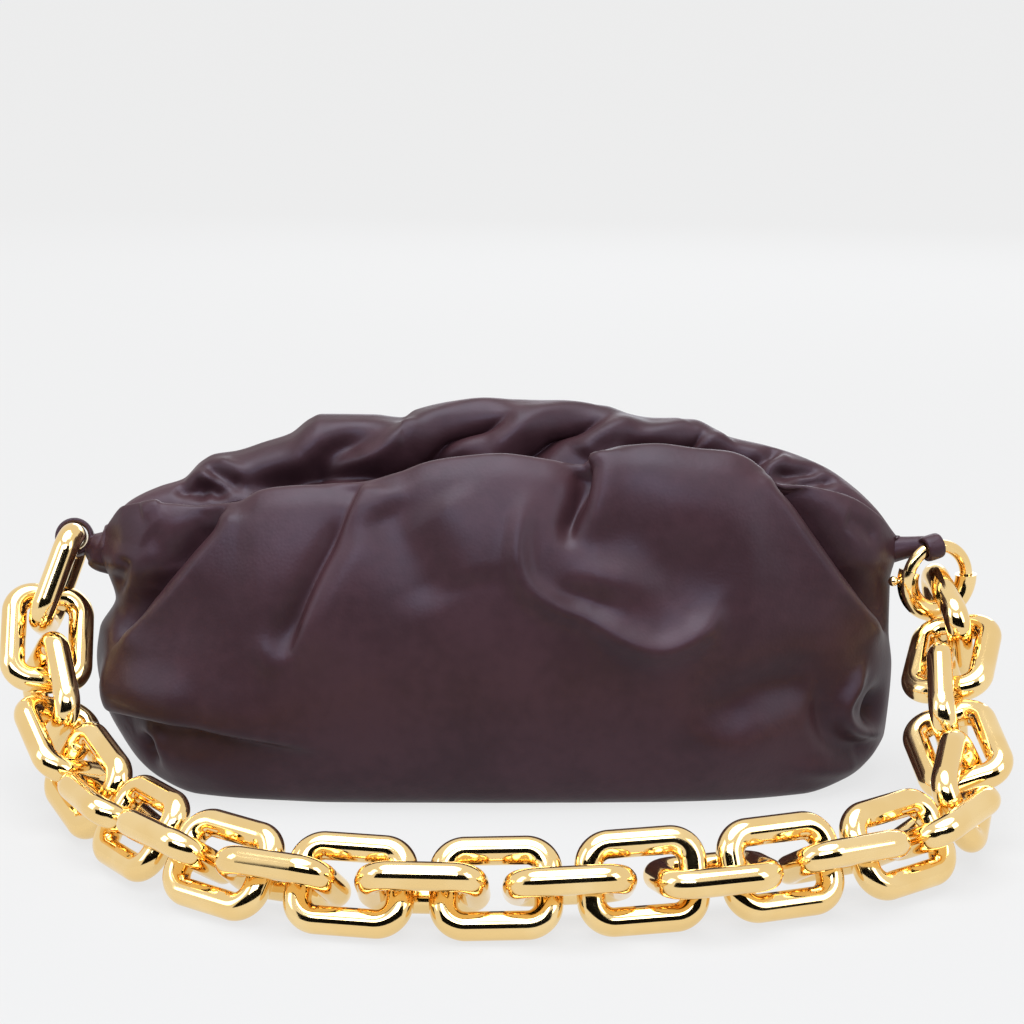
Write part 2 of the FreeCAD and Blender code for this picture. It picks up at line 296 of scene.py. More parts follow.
def make_gold():
    finish = Finish("polished_gold", Metallic=1.0)
    handled = finish.ramp(finish.noise(scale=40.0, detail=3.0), low=0.4, high=0.7)
    hairlines = finish.noise(scale=900.0, stretch=(0.06, 1.0, 1.0))
    finish.colour(handled, deep_gold, bright_gold)
    finish.rough(handled + hairlines, low=0.05, high=0.09)
    finish.feed("Normal", finish.bump(finish.noise(scale=85.0, detail=1.0), distance=0.0006, strength=0.05))
    return finish.material


gold = make_gold()
print("finish", gold.name)

# %% [markdown]
# The hidden hardware is plain: a brushed spring-steel frame, nickel-plated magnets and a black
# plastic board. They show only when the mouth is open, and each still gets its own surface.

# %% Steel, nickel and plastic
dark_steel, pale_steel = (0.50, 0.49, 0.47, 1), (0.62, 0.61, 0.59, 1)
dark_nickel, pale_nickel = (0.60, 0.58, 0.54, 1), (0.68, 0.66, 0.62, 1)
dark_plastic, pale_plastic = (0.020, 0.018, 0.018, 1), (0.032, 0.029, 0.028, 1)


def make_steel():
    finish = Finish("frame_steel", Metallic=1.0)
    brushed = finish.noise(scale=700.0, detail=3.0, stretch=(0.04, 1.0, 1.0))
    finish.colour(brushed, dark_steel, pale_steel)
    finish.rough(brushed, low=0.26, high=0.42)
    finish.feed("Normal", finish.bump(brushed, distance=0.00005, strength=0.3))
    return finish.material


def make_nickel():
    finish = Finish("magnet_nickel", Metallic=1.0)
    dull = finish.noise(scale=300.0, detail=3.0)
    finish.colour(dull, dark_nickel, pale_nickel)
    finish.rough(dull, low=0.12, high=0.24)
    return finish.material


def make_plastic():
    finish = Finish("board_plastic", Specular_IOR_Level=0.35)
    specks = finish.noise(scale=900.0, detail=3.0)
    finish.colour(specks, dark_plastic, pale_plastic)
    finish.rough(specks, low=0.55, high=0.75)
    finish.feed("Normal", finish.bump(specks, distance=0.0001, strength=0.4))
    return finish.material


steel = make_steel()
nickel = make_nickel()
plastic = make_plastic()
print("finishes", steel.name, nickel.name, plastic.name)

# %% [markdown]
# The solids that stay take these finishes by their names. Only the slot's material changes, never
# the mesh, and the links are shaded smooth so that their facets don't show in the polish.

# %% Dressing the solids
finish_of = {"strap_link": gold, "clasp": gold, "frame_bar": steel, "hinge_pin": steel,
             "magnets": nickel, "base_board": plastic}


def dress(mesh, finish):
    mesh.materials.clear()
    mesh.materials.append(finish)
    if finish is gold:
        mesh.shade_smooth()


dressed = 0
for name, node in nodes.items():
    for word, finish in finish_of.items():
        if word in name:
            dress(node.data, finish)
            dressed += 1
print(dressed, "solids dressed")

# %% [markdown]
# The leather body is a lofted shell. A few rows of given points say how it runs, and a smooth
# curve through them gives all that lies between. Heights along the pouch must not overshoot their
# points, so they get one kind of curve, and its sections, which bend over themselves, another.

# %% Curves
def smooth_through(points, places):
    """A smooth curve through points (place, value), which never overshoots them."""
    xs, ys = np.array(points, float).T
    rise = np.diff(ys) / np.diff(xs)
    slope = np.zeros(len(xs))
    same = rise[1:] * rise[:-1] > 0
    slope[1:-1][same] = 2 * (rise[1:] * rise[:-1])[same] / (rise[1:] + rise[:-1])[same]
    slope[0], slope[-1] = rise[0], rise[-1]
    left = np.clip(np.searchsorted(xs, places) - 1, 0, len(xs) - 2)
    right = left + 1
    run = xs[right] - xs[left]
    share = np.clip((places - xs[left]) / run, 0, 1)
    near = (1 - share) ** 2 * ((1 + 2 * share) * ys[left] + share * run * slope[left])
    far = share ** 2 * ((3 - 2 * share) * ys[right] - (1 - share) * run * slope[right])
    return near + far


def curve_through(points, count):
    """Many points along smooth curves through the second-last axis of an array."""
    ahead = 2 * points[..., :1, :] - points[..., 1:2, :]
    beyond = 2 * points[..., -1:, :] - points[..., -2:-1, :]
    longer = np.concatenate([ahead, points, beyond], axis=-2)
    spans = points.shape[-2] - 1
    place = np.linspace(0, spans, count)
    span = np.minimum(place.astype(int), spans - 1)
    share = (place - span)[:, None]
    before, start, end, after = (longer[..., span + step, :] for step in range(4))
    bend = (2 * before - 5 * start + 4 * end - after) * share
    bend += (3 * start - before - 3 * end + after) * share ** 2
    return start + share * (end - before + bend) / 2


def even_steps(rows, count):
    """Each row's points moved along it to lie evenly."""
    made = np.empty((len(rows), count, rows.shape[2]))
    for row, out in zip(rows, made):
        length = np.concatenate([[0], np.cumsum(np.linalg.norm(np.diff(row, axis=0), axis=1))])
        at = np.linspace(0, length[-1], count)
        for axis in range(row.shape[1]):
            out[:, axis] = np.interp(at, length, row[:, axis])
    return made


print("curves ready")

# %% [markdown]
# A shell is kept as a grid of points, along the pouch and up it. A grid is easy to bend with whole
# arrays at once, its normals come from its neighbours, and it becomes a mesh of four-sided faces.

# %% Grids
tiny = 1e-12


def unit(vectors):
    """Vectors of length 1 in the same directions."""
    return vectors / np.maximum(np.linalg.norm(vectors, axis=-1, keepdims=True), tiny)


def grid_normals(grid):
    """The normal at each point of a grid."""
    return unit(np.cross(np.gradient(grid, axis=0), np.gradient(grid, axis=1)))


def grid_faces(shape, flipped):
    """The faces of a grid. Flipped, they turn their other side outwards."""
    index = np.arange(shape[0] * shape[1]).reshape(shape)
    corners = (index[:-1, :-1], index[1:, :-1], index[1:, 1:], index[:-1, 1:])
    faces = np.stack(corners, axis=-1).reshape(-1, 4)
    return (faces[:, ::-1] if flipped else faces).tolist()


def grid_object(name, grid, flipped, finish):
    made = mesh_object(name, grid.reshape(-1, 3).tolist(), grid_faces(grid.shape[:2], flipped), finish)
    made.data.shade_smooth()
    return made


def relax(grid, turns):
    """Draws each inner point half-way to the middle of its four neighbours, to soften kinks."""
    for _ in range(turns):
        middle = (grid[:-2, 1:-1] + grid[2:, 1:-1] + grid[1:-1, :-2] + grid[1:-1, 2:]) / 4
        grid[1:-1, 1:-1] += (middle - grid[1:-1, 1:-1]) / 2
    return grid


print("grids ready")

# %% [markdown]
# These are the pouch's heights along its length, from left to right and in metres. The crest of the
# front lip and the top of the back roll are not alike: the left of the lip hangs lower, and the back
# roll rises behind it. Both come down to the ears at the two ends, where the tabs of the strap are.

# %% Crests and mouth
end_left, end_right = -0.158, 0.154
front_crest = (
    (-0.158, 0.098), (-0.154, 0.105), (-0.147, 0.113), (-0.135, 0.1155), (-0.117, 0.1155),
    (-0.101, 0.117), (-0.0915, 0.122), (-0.084, 0.1235), (-0.069, 0.1248), (-0.0545, 0.1253),
    (-0.0375, 0.1296), (-0.027, 0.1336), (-0.0164, 0.1356), (0.0014, 0.1371), (0.0187, 0.135),
    (0.033, 0.1330), (0.0385, 0.1371), (0.0484, 0.1399), (0.0607, 0.1407), (0.0769, 0.1383),
    (0.0885, 0.1371), (0.0946, 0.1352), (0.103, 0.1295), (0.124, 0.122), (0.136, 0.117),
    (0.147, 0.108), (0.154, 0.098),
)
back_crest = (
    (-0.158, 0.098), (-0.154, 0.104), (-0.147, 0.110), (-0.136, 0.1145), (-0.127, 0.117),
    (-0.1197, 0.1238), (-0.114, 0.1267), (-0.1056, 0.1277), (-0.094, 0.1312), (-0.0836, 0.1345),
    (-0.076, 0.1402), (-0.071, 0.1423), (-0.05, 0.142), (-0.0378, 0.1406), (-0.033, 0.1435),
    (-0.0173, 0.1464), (0.0036, 0.1481), (0.0193, 0.1472), (0.0433, 0.1456), (0.0542, 0.1419),
    (0.063, 0.1406), (0.0787, 0.1402), (0.092, 0.1335), (0.1072, 0.130), (0.116, 0.1275),
    (0.1293, 0.122), (0.1393, 0.115), (0.148, 0.1065), (0.154, 0.098),
)
mouth_height = (
    (-0.158, 0.096), (-0.144, 0.1015), (-0.124, 0.107), (-0.096, 0.1125), (-0.059, 0.118),
    (0, 0.119), (0.059, 0.118), (0.096, 0.1125), (0.124, 0.107), (0.144, 0.1015), (0.154, 0.0955),
)
print(f"pouch {end_right - end_left:.3f} m long, {max(height for _, height in back_crest):.3f} m high")

# %% [markdown]
# Across the pouch, a section runs from the middle of the base, out and up the face to the crest of
# the lip, and over it down to the mouth. It is written in shares, so that one section serves the
# whole length: towards the ends it gets shallower, and the base lifts off the floor.

# %% Sections
half_depth = 0.058
# Along the length, from the middle to an end: shares of the half depth, and lifts of the base
depth_shares = ((0, 1.0), (0.38, 0.98), (0.62, 0.89), (0.8, 0.72), (0.93, 0.49), (1.0, 0.27))
lift_heights = ((0, 0.0), (0.78, 0.0), (0.9, 0.004), (0.96, 0.009), (1.0, 0.016))
# How far the ends stand out at each height, as shares of the ends' own places
left_end_shares = ((0, 0.92), (0.014, 0.955), (0.03, 1.0), (0.048, 1.018), (0.06, 1.008), (0.073, 0.965),
                   (0.082, 0.98), (0.092, 1.01), (0.1, 0.995))
right_end_shares = ((0, 1.0), (0.02, 1.02), (0.045, 1.03), (0.06, 1.02), (0.08, 1.02), (0.092, 1.035),
                    (0.1, 1.03))
# The section: shares of the half depth, and of the way from the base to the crest
front_section_shares = (
    (0.0, 0.0), (-0.42, 0.0), (-0.74, 0.004), (-0.9, 0.075), (-0.975, 0.2), (-1.0, 0.4), (-0.945, 0.62),
    (-0.82, 0.8), (-0.655, 0.935), (-0.53, 0.99), (-0.47, 1.0),
)
back_section_shares = (
    (0.0, 0.0), (0.42, 0.0), (0.74, 0.004), (0.9, 0.075), (0.965, 0.2), (0.985, 0.4), (0.925, 0.63),
    (0.82, 0.8), (0.68, 0.93), (0.56, 0.985), (0.44, 1.0),
)
# From the crest down to the mouth: shares of the crest's depth, and of the drop to the mouth
front_fold_shares = ((0.925, 0.08), (0.83, 0.26), (0.6, 0.54), (0.28, 0.86))
back_fold_shares = ((0.85, 0.02), (0.62, 0.09), (0.37, 0.3), (0.15, 0.74))
print(f"pouch {2 * half_depth:.3f} m deep")

# %% [markdown]
# Each half is lofted by sweeping its section along the length. The stations lie closer together
# near the ends, where the shape turns fastest, and a high power of the reach closes the ends with a
# small round. The two halves meet at the mouth with a hair's gap.

# %% Two halves
stations, steps_up, section_samples = 440, 200, 400
crowding_share = 0.55
end_power = 26
mouth_edge = 0.0006
least_drop = 0.001
base_height = 0.0002


def pouch_half(section_shares, fold_shares, crest, sign):
    """One half of the pouch as a grid: along the length, then from base to mouth."""
    even = np.linspace(-1, 1, stations)
    along = crowding_share * np.sin(even * math.pi / 2) + (1 - crowding_share) * even
    x = np.where(along < 0, -along * end_left, along * end_right)
    reach = np.abs(along)
    end_round = np.sqrt(np.maximum(1 - reach ** end_power, 0))
    depth = half_depth * smooth_through(depth_shares, reach) * end_round
    lift = smooth_through(lift_heights, reach)
    top = smooth_through(crest, x)
    mouth = np.minimum(smooth_through(mouth_height, x), top - least_drop)
    points = [(out * depth, lift + up * (top - lift)) for out, up in section_shares]
    crest_depth = section_shares[-1][0] * depth
    points += [(out * crest_depth, top - down * (top - mouth)) for out, down in fold_shares]
    points.append((np.full(stations, sign * mouth_edge), mouth))
    rows = np.stack([np.stack(point, axis=-1) for point in points], axis=1)
    rows = even_steps(curve_through(rows, section_samples), steps_up)
    stand_out = np.where(x[:, None] < 0, smooth_through(left_end_shares, rows[..., 1]),
                         smooth_through(right_end_shares, rows[..., 1]))
    grid = np.empty((stations, steps_up, 3))
    grid[..., 0] = x[:, None] * (1 + (stand_out - 1) * reach[:, None] ** 2)
    grid[..., 1] = rows[..., 0]
    grid[..., 2] = np.maximum(rows[..., 1], base_height)
    return grid


front_grid = pouch_half(front_section_shares, front_fold_shares, front_crest, -1)
back_grid = pouch_half(back_section_shares, back_fold_shares, back_crest, 1)
print("front and back grids", front_grid.shape, back_grid.shape)

# %% [markdown]
# Leather that is gathered into a frame falls in creases. Each crease is a line of points drawn on
# the photograph, or on the hidden side seen from behind, and each point becomes a line of sight
# that ends on the smooth shell.

# %% Lines of sight
behind_distance = 0.4


def from_photo(across, down):
    """The line of sight through a pixel of the photograph: where it starts, and its direction."""
    return eye, line_of_sight(across, down)


def from_behind(x, z):
    """A level line of sight from behind, to a place given in millimetres."""
    return Vector((x * MM, behind_distance, z * MM)), Vector((0, -1, 0))


def smooth_rise(share):
    """From 0 to 1, starting and ending gently."""
    share = np.clip(share, 0, 1)
    return share ** 2 * (3 - 2 * share)


print("lines of sight ready")

# %% [markdown]
# A fold is pressed in or drawn out along the shell's own normals, by an amount that depends on the
# distance to its line or middle: a groove or ridge, a lapped step, or a round swell. A cloth
# simulation would fold the leather where it likes, and here every fold has a place to be. Near the
# mouth the presses die away, so that its edge stays shut.

# %% Folding tools
line_samples = 150
mouth_steps = 5
# How a press fades on leather that faces away from its line, by the product of the two normals
faces_away, facing_span = -0.5, 0.7
# Shares of a crease's width: its reach, and the place and width of a ridge beside it
crease_reach_share, ridge_place_share, ridge_width_share = 4.5, 2.0, 1.1
# A step's reach as a share of its own fade, and the width of its lap as a share of its width
step_reach_share, lap_width_share = 2.4, 1.6


class Shell:
    """A smooth grid of leather, its tree for finding points, and how far each point moves."""

    def __init__(self, grid, flipped):
        self.grid = grid
        self.normal = grid_normals(grid) * (-1 if flipped else 1)
        self.points = grid.reshape(-1, 3)
        self.tree = BVHTree.FromPolygons(self.points.tolist(), grid_faces(grid.shape[:2], flipped))
        self.height = np.zeros(len(self.points))
        self.slide = np.zeros((len(self.points), 3))

    def line(self, path, look):
        """A drawn line laid on the shell: points, their normals and their directions."""
        sights = [look(*place) for place in curve_through(np.array(path, float), line_samples)]
        hits = [self.tree.ray_cast(*sight)[:2] for sight in sights]
        found = [(sight[1], *hit) for sight, hit in zip(sights, hits) if hit[0] is not None]
        toward, points, normals = (np.array(column) for column in zip(*found))
        normals *= -np.sign(np.sum(normals * toward, axis=1))[:, None]
        return points, normals, unit(np.gradient(points, axis=0))

    def press(self, laid, shape, reach, ends, lean=None):
        """Adds a shape, and a lean where there is one, by the signed distance to a laid line."""
        points, normals, run = laid
        low, high = points.min(axis=0) - reach, points.max(axis=0) + reach
        near = np.where(np.all((self.points > low) & (self.points < high), axis=1))[0]
        gaps = self.points[near, None, :] - points[None]
        nearest = np.argmin(np.sum(gaps * gaps, axis=2), axis=1)
        gap = gaps[np.arange(len(near)), nearest]
        right = np.cross(run, normals)[nearest]
        away = np.linalg.norm(gap, axis=1)
        signed = np.where(np.sum(gap * right, axis=1) < 0, -away, away)
        place = nearest / (len(points) - 1)
        fade = smooth_rise(place / ends[0]) * smooth_rise((1 - place) / ends[1])
        facing = np.sum(self.normal.reshape(-1, 3)[near] * normals[nearest], axis=1)
        fade *= smooth_rise((facing - faces_away) / facing_span) * (away < reach)
        self.height[near] += shape(signed) * fade
        if lean is not None:
            self.slide[near] += right * (lean(signed) * fade)[:, None]

    def crease(self, path, height, width, right=1.0, ridge=0.0, ends=(0.22, 0.22), look=from_photo):
        """A groove, or a ridge where height is above 0, in millimetres. The right side is right times
        as wide as the left, and a ridge can stand on the left, as a share of the height."""
        size, wide = height * MM, width * MM

        def shape(distance):
            main = np.exp(-(distance / np.where(distance > 0, wide * right, wide)) ** 2)
            aside = (distance + ridge_place_share * wide) / (ridge_width_share * wide)
            return size * (main - ridge * np.exp(-aside ** 2))

        self.press(self.line(path, look), shape, crease_reach_share * wide, ends)

    def step(self, path, height, width, reach, lean, ends=(0.12, 0.12), look=from_photo):
        """The right side stands above the left by twice the height, and leans over it."""
        size, wide, far, tip = height * MM, width * MM, reach * MM, lean * MM

        def shape(distance):
            return size * np.tanh(distance / wide) * np.exp(-(distance / far) ** 2)

        def lap(distance):
            return -tip * np.exp(-((distance - wide) / (lap_width_share * wide)) ** 2)

        self.press(self.line(path, look), shape, step_reach_share * far, ends, lap)

    def swell(self, place, height, radius, look=from_photo):
        """A round bulge, or a hollow where height is below 0, in millimetres."""
        hit = self.tree.ray_cast(*look(*place))[0]
        away = np.linalg.norm(self.points - np.array(hit), axis=1)
        self.height += height * MM * np.exp(-(away / (radius * MM)) ** 2)

    def folded(self, turns):
        """The grid with its presses, relaxed."""
        moved = self.normal.reshape(-1, 3) * self.height[:, None] + self.slide
        steps_left = np.arange(self.grid.shape[1])[::-1]
        shut = smooth_rise(steps_left / mouth_steps)[None, :, None]
        return relax(self.grid + moved.reshape(self.grid.shape) * shut, turns)


front = Shell(front_grid, False)
back = Shell(back_grid, True)
print("shells of", len(front.points), "and", len(back.points), "points")

# %% [markdown]
# The front first. Two taut edges run down from the lip to the sides and set off the ears, which
# lie lower behind them. A long crease falls from the left of the lip and a dart pulls at its right;
# on both, the leather of the right side laps over the left. All lines are pixels of the photograph,
# and heights and widths are millimetres.

# %% Taut edges, long crease and dart
left_edge = ((112, 652), (140, 614), (163, 587), (188, 556), (213, 527), (232, 500))
right_edge = ((750, 456), (770, 477), (792, 500), (819, 538), (846, 576), (868, 605), (889, 640))
long_crease = ((284, 668), (292, 650), (300, 630), (310, 602), (322, 575), (335, 550), (347, 522),
               (360, 495), (367, 478))
long_hollow = ((354, 502), (334, 545), (309, 590), (286, 634), (274, 660))
hollow_rim = ((262, 630), (266, 660), (282, 678))
dart = ((571, 545), (577, 526), (584, 506), (590, 482), (591, 462), (592, 446))
dart_hollow = ((589, 464), (583, 500), (570, 530), (560, 552))

for edge in (left_edge, right_edge):
    front.step(edge, height=2.8, width=1.2, reach=12, lean=2.4)
    front.crease(edge, height=-8.2, width=8.5, right=0.3)
front.step(long_crease, height=2.3, width=1.5, reach=15, lean=1.5, ends=(0.3, 0.08))
front.crease(long_hollow, height=-3.6, width=5.5, ends=(0.25, 0.35))
front.crease(hollow_rim, height=1.0, width=4, ends=(0.4, 0.4))
front.step(dart, height=3.6, width=1.1, reach=11, lean=1.3, ends=(0.5, 0.02))
front.crease(dart_hollow, height=-5.0, width=4.4, ends=(0.05, 0.45))
print(f"front pressed in {-front.height.min() / MM:.1f} mm so far")

# %% [markdown]
# Below the dart the slack leather turns in a soft swirl: a broad rounded ridge that curls round two
# hollows, with a lower ridge inside it. Wide, shallow presses are enough for these.

# %% Swirl and soft hollows
swirl = ((538, 484), (523, 512), (517, 555), (526, 585), (552, 605), (587, 617), (625, 640), (663, 649),
         (698, 634), (716, 611), (722, 580))
swirl_foot = ((580, 618), (625, 640), (663, 649), (700, 630), (716, 600))
swirl_inside = ((556, 562), (596, 576), (636, 584), (670, 600))
low_hollow = ((548, 588), (588, 602), (628, 613))
upper_hollow, deep_hollow, lip_swell = (622, 532), (684, 570), (702, 500)
middle_hollow = ((378, 500), (396, 530), (418, 565), (444, 612))
middle_ridge = ((436, 492), (462, 536), (474, 590))

front.crease(swirl, height=3.4, width=4.6)
front.crease(swirl_foot, height=2.6, width=9, ends=(0.35, 0.35))
front.crease(swirl_inside, height=2.2, width=7, ends=(0.4, 0.4))
front.crease(low_hollow, height=-2.4, width=5.5, ends=(0.4, 0.4))
front.swell(upper_hollow, height=-3.2, radius=15)
front.swell(deep_hollow, height=-5.0, radius=18)
front.swell(lip_swell, height=2.0, radius=20)
front.crease(middle_hollow, height=-2.8, width=11)
front.crease(middle_ridge, height=2.0, width=12)
print(f"front drawn out {front.height.max() / MM:.1f} mm so far")

# %% [markdown]
# Near the base the leather sags over itself. On the left a long roll overhangs the base, with a
# small pinched hole under it. On the right a rounded bulge lies below a soft groove, and next to it
# the corner is pushed in to a pocket with a curled rim.

# %% Rolls near the base
left_roll = ((88, 680), (120, 688), (152, 696), (205, 708))
left_overhang = ((344, 759), (262, 739), (190, 720), (140, 708), (90, 697))
left_lower_roll = ((140, 752), (180, 760), (245, 770))
pinch_rim = ((130, 735), (146, 733), (158, 744), (156, 762))
pinch_hole = (147, 750)
right_groove = ((850, 684), (804, 683), (758, 695), (722, 715), (694, 740))
right_bulge = (738, 738)
pocket_rim = ((870, 656), (855, 685), (844, 707), (848, 724), (862, 733), (890, 733))
pocket_hollow = (875, 708)
rim_valley = ((842, 672), (825, 704), (828, 732), (850, 747), (890, 747))
corner_roll = ((775, 764), (829, 770), (862, 761), (894, 747))

front.crease(left_roll, height=3.4, width=10)
front.step(left_overhang, height=5.0, width=2.4, reach=18, lean=3.4, ends=(0.45, 0.08))
front.crease(left_lower_roll, height=2.6, width=9, ends=(0.4, 0.4))
front.crease(pinch_rim, height=2.4, width=3.4, ends=(0.35, 0.35))
front.swell(pinch_hole, height=-9, radius=4.5)
front.crease(right_groove, height=-5.6, width=11, ends=(0.3, 0.35))
front.swell(right_bulge, height=4.4, radius=17)
front.crease(pocket_rim, height=4.4, width=3.4, ends=(0.25, 0.12))
front.swell(pocket_hollow, height=-8, radius=7)
front.crease(rim_valley, height=-4.4, width=5.5, ends=(0.4, 0.1))
front.crease(corner_roll, height=2.0, width=4.2, ends=(0.4, 0.3))
print(f"front pressed in {-front.height.min() / MM:.1f} mm, out {front.height.max() / MM:.1f} mm")

# %% [markdown]
# The ears are gathered towards the tabs, so a few small creases run to the tabs from each. Then the
# presses are added to the smooth grid and two turns of relaxing take off the kinks.

# %% Ears of the front
left_neck = ((124, 556), (119, 575), (113, 596))
left_crown = ((140, 512), (160, 503), (205, 500))
left_cheek = ((146, 530), (160, 545), (170, 566))
right_neck = ((880, 540), (862, 526), (846, 516))

front.crease(left_neck, height=-3.0, width=3.4)
front.crease(left_crown, height=1.6, width=4)
front.crease(left_cheek, height=-1.4, width=6)
front.crease(right_neck, height=-1.8, width=4)
front_folded = front.folded(turns=2)
print("front folded", front_folded.shape)

# %% [markdown]
# The back roll shows above the lip. It is gathered into deep folds that run down into the mouth,
# with a dark gap where it tucks in behind the lip and small gathers towards the ears.

# %% Back roll
left_hollow = ((392, 434), (357, 438), (333, 452), (316, 470), (300, 480))
left_facet = ((411, 419), (403, 433), (376, 455), (346, 472))
middle_fold = ((520, 410), (478, 416), (447, 428), (424, 450), (396, 468), (360, 480))
right_fold = ((632, 408), (566, 421), (534, 444), (512, 462), (490, 472))
right_ridge = ((652, 415), (600, 433), (578, 456))
far_fold = ((716, 424), (684, 435), (656, 452), (640, 462))
far_ridge = ((735, 436), (712, 441), (690, 454))
tuck_left = ((232, 494), (290, 484), (340, 481), (390, 478), (440, 468), (500, 460))
tuck_right = ((610, 454), (660, 450), (720, 452), (774, 470))
left_gathers = (((174, 487), (192, 491), (212, 496)), ((180, 475), (204, 486), (232, 500)),
                ((202, 463), (222, 476), (246, 491)))
right_gathers = (((792, 445), (772, 452), (750, 462)), ((828, 466), (800, 471), (768, 478)),
                 ((840, 478), (815, 482), (786, 489)))

back.step(middle_fold, height=3.4, width=2.2, reach=14, lean=3.0, ends=(0.2, 0.3))
back.crease(middle_fold, height=-8, width=6, ends=(0.2, 0.3))
back.crease(left_hollow, height=-6, width=5.5, ends=(0.35, 0.3))
back.crease(left_facet, height=2.6, width=4, ends=(0.2, 0.3))
back.step(right_fold, height=3.4, width=2.0, reach=13, lean=3.0, ends=(0.2, 0.3))
back.crease(right_fold, height=-9, width=5.5, ends=(0.2, 0.3))
back.crease(right_ridge, height=3.0, width=5)
back.step(far_fold, height=2.4, width=1.8, reach=10, lean=2.2, ends=(0.2, 0.3))
back.crease(far_fold, height=-6, width=4.5, ends=(0.2, 0.3))
back.crease(far_ridge, height=2.2, width=5)
back.crease(tuck_left, height=-11, width=5.5, ends=(0.2, 0.25))
back.crease(tuck_right, height=-7, width=5, ends=(0.25, 0.2))
for gather in left_gathers + right_gathers:
    back.crease(gather, height=-3.8, width=2.8, ridge=0.35, ends=(0.3, 0.3))
print(f"back pressed in {-back.height.min() / MM:.1f} mm so far")

# %% [markdown]
# The back of the pouch is hidden in the photograph. It is the same leather on the same frame, so it
# gets the same kind of folds, here drawn from behind in millimetres: lapped pleats below the crest,
# soft grooves and swells lower down, and taut edges beside the ears.

# %% Hidden back
back_pleats = (((-80, 134), (-74, 110), (-66, 84), (-56, 62)), ((-30, 142), (-30, 118), (-38, 94)),
               ((22, 144), (34, 116), (37, 88), (26, 62)), ((84, 134), (73, 110), (76, 90)))
pleat_heights = (3.4, 2.4, 3.6, 2.6)
back_grooves = (((-128, 60), (-92, 46), (-52, 38), (-18, 42)), ((28, 34), (70, 38), (112, 56)),
                ((-12, 98), (8, 80), (12, 58)), ((60, 88), (88, 70), (116, 70)))
groove_depths = (4.0, 4.4, 2.6, 3.0)
back_edges = (((147, 56), (134, 78), (119, 100), (103, 120)),
              ((-103, 120), (-119, 100), (-134, 78), (-147, 56)))
# The place of each swell, its height and its radius
back_swells = (((-62, 28), 2.4, 22), ((74, 66), -2.4, 18), ((-104, 84), -2.6, 15), ((-4, 112), 2.2, 20),
               ((52, 112), -2.2, 16))

for pleat, height in zip(back_pleats, pleat_heights):
    back.step(pleat, height, width=1.3, reach=14, lean=1.6, ends=(0.15, 0.4), look=from_behind)
for groove, depth in zip(back_grooves, groove_depths):
    back.crease(groove, height=-depth, width=11, ends=(0.35, 0.35), look=from_behind)
for edge in back_edges:
    back.step(edge, height=2.8, width=1.2, reach=12, lean=2.2, look=from_behind)
    back.crease(edge, height=-5.4, width=9, right=0.3, look=from_behind)
for place, height, radius in back_swells:
    back.swell(place, height, radius, look=from_behind)
back_folded = back.folded(turns=2)
print(f"back pressed in {-back.height.min() / MM:.1f} mm, out {back.height.max() / MM:.1f} mm")

# %% [markdown]
# The two halves become objects. Solidify gives the leather its real thickness, inwards. The back
# half goes with the pouch, and the front half stays where it is made.

# %% Leather objects
leather_thickness = 0.0016


def thicken(piece, thickness):
    modifier = piece.modifiers.new("thickness", "SOLIDIFY")
    modifier.thickness = thickness
    modifier.offset = -1


front_leather = grid_object("front_leather", front_folded, False, leather)
thicken(front_leather, leather_thickness)
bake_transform(front_leather)
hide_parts("front_panel", "front_gather", "front_lip")

back_leather = grid_object("back_leather", back_folded, True, leather)
thicken(back_leather, leather_thickness)
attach(back_leather, "pouch")
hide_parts("back_panel")
print("leather faces", len(front_leather.data.polygons), len(back_leather.data.polygons))

# %% [markdown]
# The lining is a looser bag inside the leather. It could be draped by a cloth simulation, but it
# is sewn in along the lip and hangs free of the creases, so its shape is simple: at each point it
# lies inside the deepest crease nearby, smoothed. It stops below the crest, where it is sewn in.

# %% Lining
board_top = max(corner[2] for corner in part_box("base_board"))
board_clearance = 0.0012
lining_gap = 0.0026
lining_thickness = 0.0006
most_swell = 0.001
calming_turns = 7
steps_below_crest = 6
rows_from_end = 14
every_third = 3


def inner_grid(shell):
    """A calm copy of a shell's grid, inside its creases and above the board."""
    height = shell.height.reshape(shell.grid.shape[:2])
    for _ in range(calming_turns):
        lowest = height
        for axis in (0, 1):
            for shift in (-1, 1):
                lowest = np.minimum(lowest, np.roll(height, shift, axis))
        height = lowest
    height = relax(height[..., None], 2 * calming_turns)[..., 0]
    height = np.minimum(height, most_swell) - lining_gap
    grid = shell.grid + shell.normal * height[..., None]
    grid[..., 2] = np.maximum(grid[..., 2], board_top + board_clearance)
    return grid


crest_step = int(np.argmax(front_grid[stations // 2, :, 2])) - steps_below_crest
front_inside = inner_grid(front)
back_inside = inner_grid(back)
lining_rows = slice(rows_from_end, stations - rows_from_end, every_third)
lining_steps = slice(0, crest_step, every_third)

front_lining = grid_object("front_lining", front_inside[lining_rows, lining_steps], False, suede)
thicken(front_lining, lining_thickness)
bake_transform(front_lining)

back_lining = grid_object("back_lining", back_inside[lining_rows, lining_steps], True, suede)
thicken(back_lining, lining_thickness)
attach(back_lining, "pouch")
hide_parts("lining")
print("lining faces", len(front_lining.data.polygons), len(back_lining.data.polygons))

# %% [markdown]
# A flat slip pocket is sewn to the back of the lining. Its top edge stands off a little, so that a
# hand finds it, and the edge is turned over to a thicker hem.

